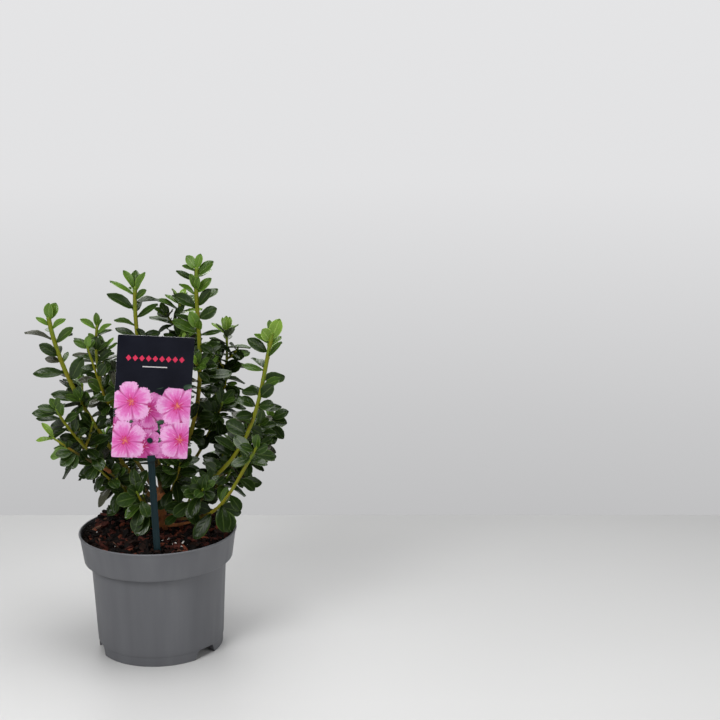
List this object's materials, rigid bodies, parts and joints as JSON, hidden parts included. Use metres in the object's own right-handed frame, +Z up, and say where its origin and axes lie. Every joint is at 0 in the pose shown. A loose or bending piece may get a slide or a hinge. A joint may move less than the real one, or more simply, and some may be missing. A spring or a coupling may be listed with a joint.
{
  "type": "azalea shrub in a nursery pot",
  "caption": "Young evergreen azalea with upright leafy shoots, growing from bark mulch in a round plastic pot, with a picture label on a stake.",
  "frame": {"origin": "centre of the object's box, level with the flat underside of the pot's foot ring", "axes": "+Z up, -Y towards the front, where the label stands, +X to the right of someone who faces the front"},
  "size_m": [0.2721, 0.2097, 0.4268],
  "materials": {
    "pot": "matt mid-grey moulded plastic",
    "mulch": "dark red-brown bark chips over peat",
    "bark": "orange-brown bark, olive green on the young wood",
    "leaf": "glossy dark green leaves with fresh green tips",
    "card": "navy-black printed plastic card with a satin gloss",
    "stake": "dark teal moulded plastic"
  },
  "bodies": {
    "root": {"pot": "pot", "mulch": "mulch", "label_card": "card", "label_stake": "stake", "stem": "bark", "bough_left": "bark", "bough_inner_left": "bark", "bough_inner_low": "bark", "bough_upper_left": "bark", "bough_top": "bark", "bough_right": "bark", "bough_low_right": "bark", "bough_low_left": "bark", "bough_spreading_left": "bark", "bough_low_side_left": "bark", "bough_front_left": "bark", "bough_front_right": "bark", "bough_low_centre": "bark", "bough_centre": "bark", "bough_back_top": "bark", "bough_back_left": "bark", "bough_back_right": "bark", "bough_back": "bark", "bough_side_right": "bark", "bough_side_left": "bark", "bough_low_back_left": "bark", "bough_low_back_right": "bark", "foliage_left": "leaf", "foliage_inner_left": "leaf", "foliage_inner_low": "leaf", "foliage_upper_left": "leaf", "foliage_top": "leaf", "foliage_right": "leaf", "foliage_low_right": "leaf", "foliage_low_left": "leaf", "foliage_spreading_left": "leaf", "foliage_low_side_left": "leaf", "foliage_front_left": "leaf", "foliage_front_right": "leaf", "foliage_low_centre": "leaf", "foliage_centre": "leaf", "foliage_back_top": "leaf", "foliage_back_left": "leaf", "foliage_back_right": "leaf", "foliage_back": "leaf", "foliage_side_right": "leaf", "foliage_side_left": "leaf", "foliage_low_back_left": "leaf", "foliage_low_back_right": "leaf"}
  },
  "joints": []
}
